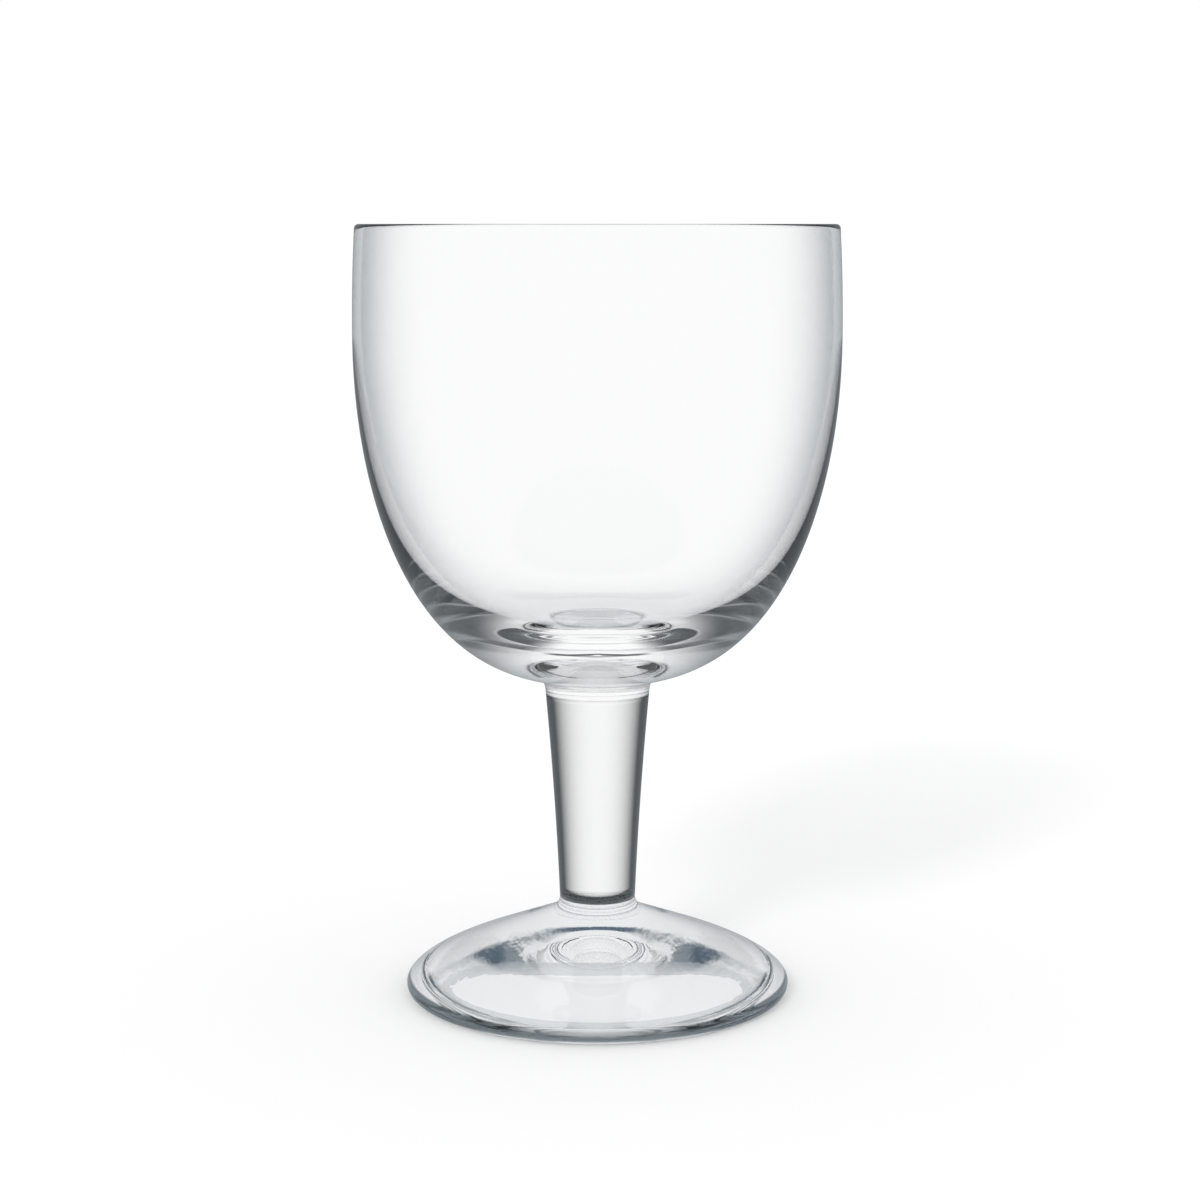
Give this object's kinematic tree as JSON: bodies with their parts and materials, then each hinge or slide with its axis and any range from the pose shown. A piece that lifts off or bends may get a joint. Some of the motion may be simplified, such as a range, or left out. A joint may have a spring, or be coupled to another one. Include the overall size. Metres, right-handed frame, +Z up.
{
  "type": "stemmed measure glass",
  "caption": "Clear stemmed drinking glass: a rounded bowl with a heavy base on a solid tapered stem and a domed round foot with a hollow underside.",
  "frame": {"origin": "on the table, under the middle of the foot", "axes": "+Z up along the glass's axis; X and Y are any two directions across, since the glass is round"},
  "size_m": [0.0966, 0.0966, 0.155],
  "materials": {
    "bowl_glass": "clear, fire-polished",
    "stem_glass": "clear, fire-polished",
    "foot_glass": "clear, fire-polished"
  },
  "bodies": {
    "root": {"bowl": "bowl_glass", "stem": "stem_glass", "foot": "foot_glass"}
  },
  "joints": []
}
